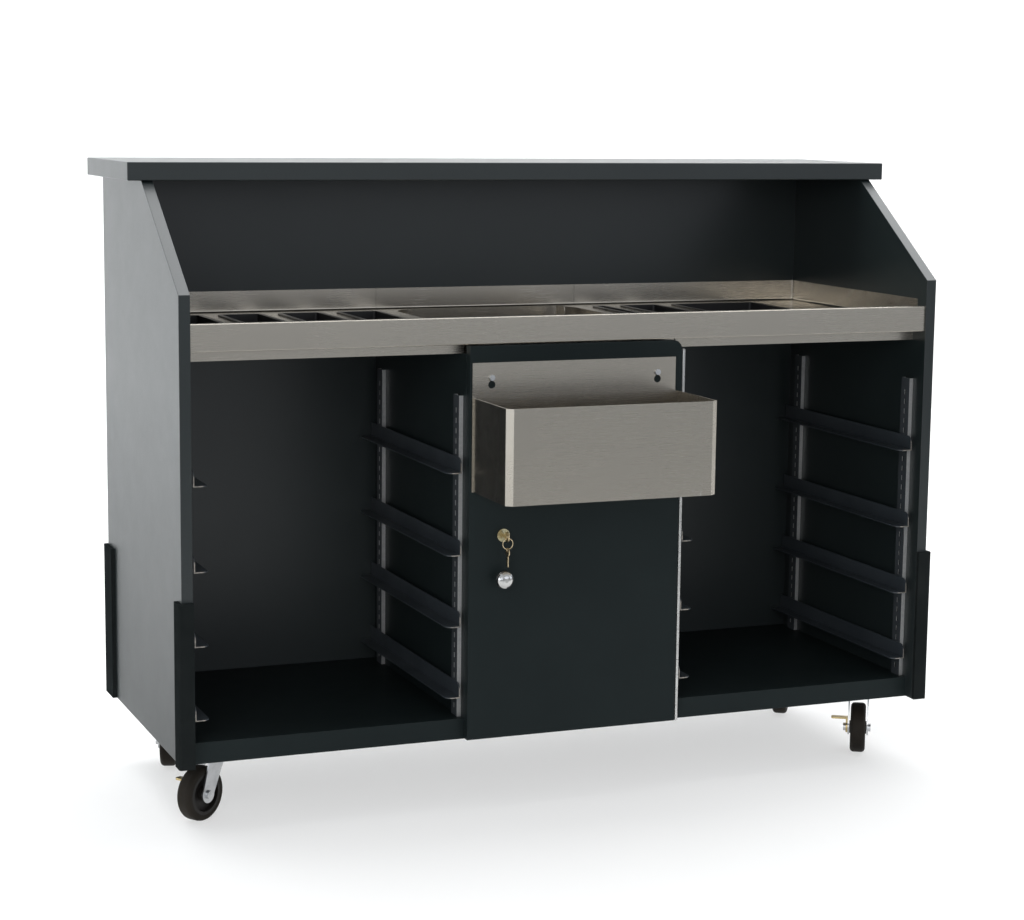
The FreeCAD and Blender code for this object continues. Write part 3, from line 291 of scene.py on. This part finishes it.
# Each finish: what makes it and how it looks. All but dull_laminate are slots of the record.
FINISHES = {
    "laminate": (laminate, {**BLACK, "gloss": 0.30, "shine": 0.49}),
    "dull_laminate": (laminate, {**BLACK, "gloss": 0.30, "shine": 0.09}),
    "stainless": (brushed, {
        "dark": (0.453, 0.421, 0.368), "light": (0.488, 0.455, 0.398), "rough": 0.27}),
    "cleat_wood": (timber, {"dark": (0.30, 0.20, 0.11), "light": (0.50, 0.36, 0.22)}),
    "foam": (foam, {"dark": (0.55, 0.52, 0.44), "light": (0.80, 0.77, 0.68)}),
    "drain_plastic": (moulded, {
        "dark": (0.55, 0.55, 0.53), "light": (0.68, 0.68, 0.66),
        "rough": 0.42, "grain_scale": 500.0, "grain_depth": 0.0002}),
    "lever_steel": (moulded, {
        "dark": (0.32, 0.02, 0.015), "light": (0.44, 0.035, 0.025),
        "rough": 0.38, "grain_scale": 420.0, "grain_depth": 0.0002}),
    # Pilasters: the dark colour is painted shade, the metal's reflection of the dark bay, and the
    # pale faces towards the front are a painted highlight
    "pilaster_metal": (cut_sheet_with_painted_highlight, {
        "dark": (0.034, 0.039, 0.043), "light": (0.050, 0.056, 0.062),
        "rough": 0.34, "bare_and_highlight": (0.66, 0.66, 0.65), "least_bare_and_highlight": 0.85}),
    # Slides: black sheet; the pale faces towards the front are partly bare cut edges, partly a
    # painted highlight
    "slide_black": (cut_sheet_with_painted_highlight, {
        "dark": (0.028, 0.034, 0.040), "light": (0.038, 0.045, 0.052),
        "rough": 0.34, "bare_and_highlight": (0.42, 0.38, 0.33), "least_bare_and_highlight": 0.35}),
    "bumper_rubber": (moulded, {
        "dark": (0.010, 0.012, 0.012), "light": (0.016, 0.018, 0.018),
        "rough": 0.7, "grain_scale": 800.0, "grain_depth": 0.0003, "shine": 0.0}),
    "hinge_metal": (metal, {
        "dark": (0.44, 0.44, 0.43), "light": (0.58, 0.58, 0.57),
        "rough": 0.28, "spread": 0.05, "scale": 40.0}),
    "knob_chrome": (metal, {
        "dark": (0.53, 0.53, 0.52), "light": (0.60, 0.60, 0.59),
        "rough": 0.10, "spread": 0.03, "scale": 60.0}),
    "lock_brass": (metal, {
        "dark": (0.47, 0.42, 0.25), "light": (0.59, 0.55, 0.37),
        "rough": 0.24, "spread": 0.05, "scale": 90.0}),
    "zinc_steel": (metal, {
        "dark": (0.46, 0.47, 0.48), "light": (0.64, 0.65, 0.66),
        "rough": 0.32, "spread": 0.07, "scale": 45.0}),
    "key_brass": (metal, {
        "dark": (0.52, 0.41, 0.25), "light": (0.68, 0.56, 0.37),
        "rough": 0.28, "spread": 0.06, "scale": 90.0}),
    "well_plastic": (moulded, {
        "dark": (0.008, 0.008, 0.009), "light": (0.014, 0.014, 0.015),
        "rough": 0.34, "grain_scale": 600.0, "grain_depth": 0.0002}),
    "wheel_plastic": (moulded, {
        "dark": (0.010, 0.009, 0.008), "light": (0.018, 0.016, 0.014),
        "rough": 0.5, "grain_scale": 600.0, "grain_depth": 0.0002, "shine": 0.25}),
    "caster_tyre": (moulded, {
        "dark": (0.012, 0.010, 0.008), "light": (0.024, 0.020, 0.015),
        "rough": 0.62, "grain_scale": 500.0, "grain_depth": 0.0004, "shine": 0.12}),
    "brake_zinc": (metal, {
        "dark": (0.50, 0.38, 0.17), "light": (0.66, 0.53, 0.28),
        "rough": 0.34, "spread": 0.06, "scale": 60.0}),
}
# Boards that feet, racks and mops have dulled
DULLED = ("door", "base", "left_partition", "right_partition")


def dress_nodes():
    """Give every CAD node the material of its slot in the record, duller on the worn boards."""
    materials = {name: make(name, **look) for name, (make, look) in FINISHES.items()}
    slots = {piece["node"]: piece["material_slot"] for piece in frame["record"]["subparts"]}
    for name, node in frame["nodes"].items():
        finish = "dull_laminate" if name in DULLED else slots[name]
        node.data.materials.clear()
        node.data.materials.append(materials[finish])


def make_paper():
    """White paper that greys towards the front of the floor and can't be seen from its back."""
    paper = Shader("paper", Roughness=0.9, Specular_IOR_Level=0.1)
    clean = paper.between(paper.along("Y"), 0.0, 1.0, *SWEEP_FADE)
    shade = tuple(SWEEP_FIBRE_SHADE * part for part in SWEEP_COLOUR)
    fibres = paper.ramp(paper.noise(scale=2.0), shade, SWEEP_COLOUR)
    paper.feed("Base Color", paper.mixed(clean, SWEEP_FRONT_COLOUR, fibres))
    path = paper.nodes.new("ShaderNodeLightPath").outputs
    seen = paper.maths("ADD", path["Is Camera Ray"], path["Is Glossy Ray"])
    seen = paper.maths("MINIMUM", paper.maths("ADD", seen, path["Is Transmission Ray"]), 1.0)
    white_share = paper.maths("MULTIPLY", paper.maths("MULTIPLY", seen, clean), SWEEP_WHITE_SHARE)
    white = paper.nodes.new("ShaderNodeEmission").outputs["Emission"]
    front = paper.blended(white_share, paper.principled.outputs["BSDF"], white)
    clear = paper.nodes.new("ShaderNodeBsdfTransparent").outputs["BSDF"]
    surface = paper.blended(paper.geometry("Backfacing"), front, clear)
    paper.link(surface, paper.nodes["Material Output"].inputs["Surface"])
    return paper.material


def make_sweep():
    """Paper sweep: floor, a rounded bend and a wall, as one strip."""
    profile = [(SWEEP_FRONT, 0.0), (SWEEP_REAR - SWEEP_BEND, 0.0)]
    for step in range(1, SWEEP_BEND_STEPS + 1):
        turn = math.pi / 2 * step / SWEEP_BEND_STEPS
        profile.append((
            SWEEP_REAR - SWEEP_BEND + SWEEP_BEND * math.sin(turn),
            SWEEP_BEND - SWEEP_BEND * math.cos(turn)))
    profile.append((SWEEP_REAR, SWEEP_HEIGHT))
    points = [(side * SWEEP_HALF_WIDTH, y, z) for y, z in profile for side in (-1.0, 1.0)]
    faces = [(2 * i, 2 * i + 1, 2 * i + 3, 2 * i + 2) for i in range(len(profile) - 1)]
    mesh = bpy.data.meshes.new("sweep")
    mesh.from_pydata(points, [], faces)
    mesh.shade_smooth()
    sweep = bpy.data.objects.new("sweep", mesh)
    scene.collection.objects.link(sweep)
    sweep.data.materials.append(make_paper())


def make_lamps():
    for name, (place, target, width, height, power, colour) in LAMPS.items():
        data = bpy.data.lights.new(name, "AREA")
        data.shape = "RECTANGLE"
        data.size = width
        data.size_y = height
        data.energy = power
        data.color = colour
        lamp = bpy.data.objects.new(name, data)
        lamp.location = place
        lamp.rotation_euler = (Vector(target) - Vector(place)).to_track_quat("-Z", "Y").to_euler()
        lamp.visible_camera = False
        scene.collection.objects.link(lamp)


def make_room():
    """Grey room, brightest at the horizon and dark below it."""
    world = bpy.data.worlds.new("room")
    scene.world = world
    world.use_nodes = True
    nodes = world.node_tree.nodes
    links = world.node_tree.links
    split = nodes.new("ShaderNodeSeparateXYZ")
    links.new(nodes.new("ShaderNodeTexCoord").outputs["Generated"], split.inputs["Vector"])
    height = nodes.new("ShaderNodeMapRange")
    height.inputs["From Min"].default_value = -1.0
    links.new(split.outputs["Z"], height.inputs["Value"])
    ramp = nodes.new("ShaderNodeValToRGB")
    stops = ramp.color_ramp.elements
    while len(stops) < len(ROOM):
        stops.new(0.5)
    for stop, (level, colour) in zip(stops, ROOM):
        stop.position = (level + 1.0) / 2.0
        stop.color = (*colour, 1.0)
    links.new(height.outputs["Result"], ramp.inputs["Fac"])
    links.new(ramp.outputs["Color"], nodes["Background"].inputs["Color"])


def make_camera():
    ahead = Vector((
        math.sin(CAMERA_YAW) * math.cos(CAMERA_PITCH),
        math.cos(CAMERA_YAW) * math.cos(CAMERA_PITCH),
        -math.sin(CAMERA_PITCH)))
    level = Vector((math.cos(CAMERA_YAW), -math.sin(CAMERA_YAW), 0.0))
    upright = level.cross(ahead)
    right = math.cos(CAMERA_ROLL) * level + math.sin(CAMERA_ROLL) * upright
    up = math.cos(CAMERA_ROLL) * upright - math.sin(CAMERA_ROLL) * level
    turned = Matrix((right, up, -ahead)).transposed().to_4x4()
    data = bpy.data.cameras.new("camera")
    data.sensor_width = SENSOR_WIDTH
    data.lens = FOCAL_PIXELS / PHOTO_WIDTH * SENSOR_WIDTH
    camera = bpy.data.objects.new("camera", data)
    camera.matrix_world = Matrix.Translation(CAMERA_PLACE) @ turned
    scene.collection.objects.link(camera)
    scene.camera = camera


dress_nodes()
make_sweep()
make_lamps()
make_room()
make_camera()
scene.view_settings.view_transform = "Standard"
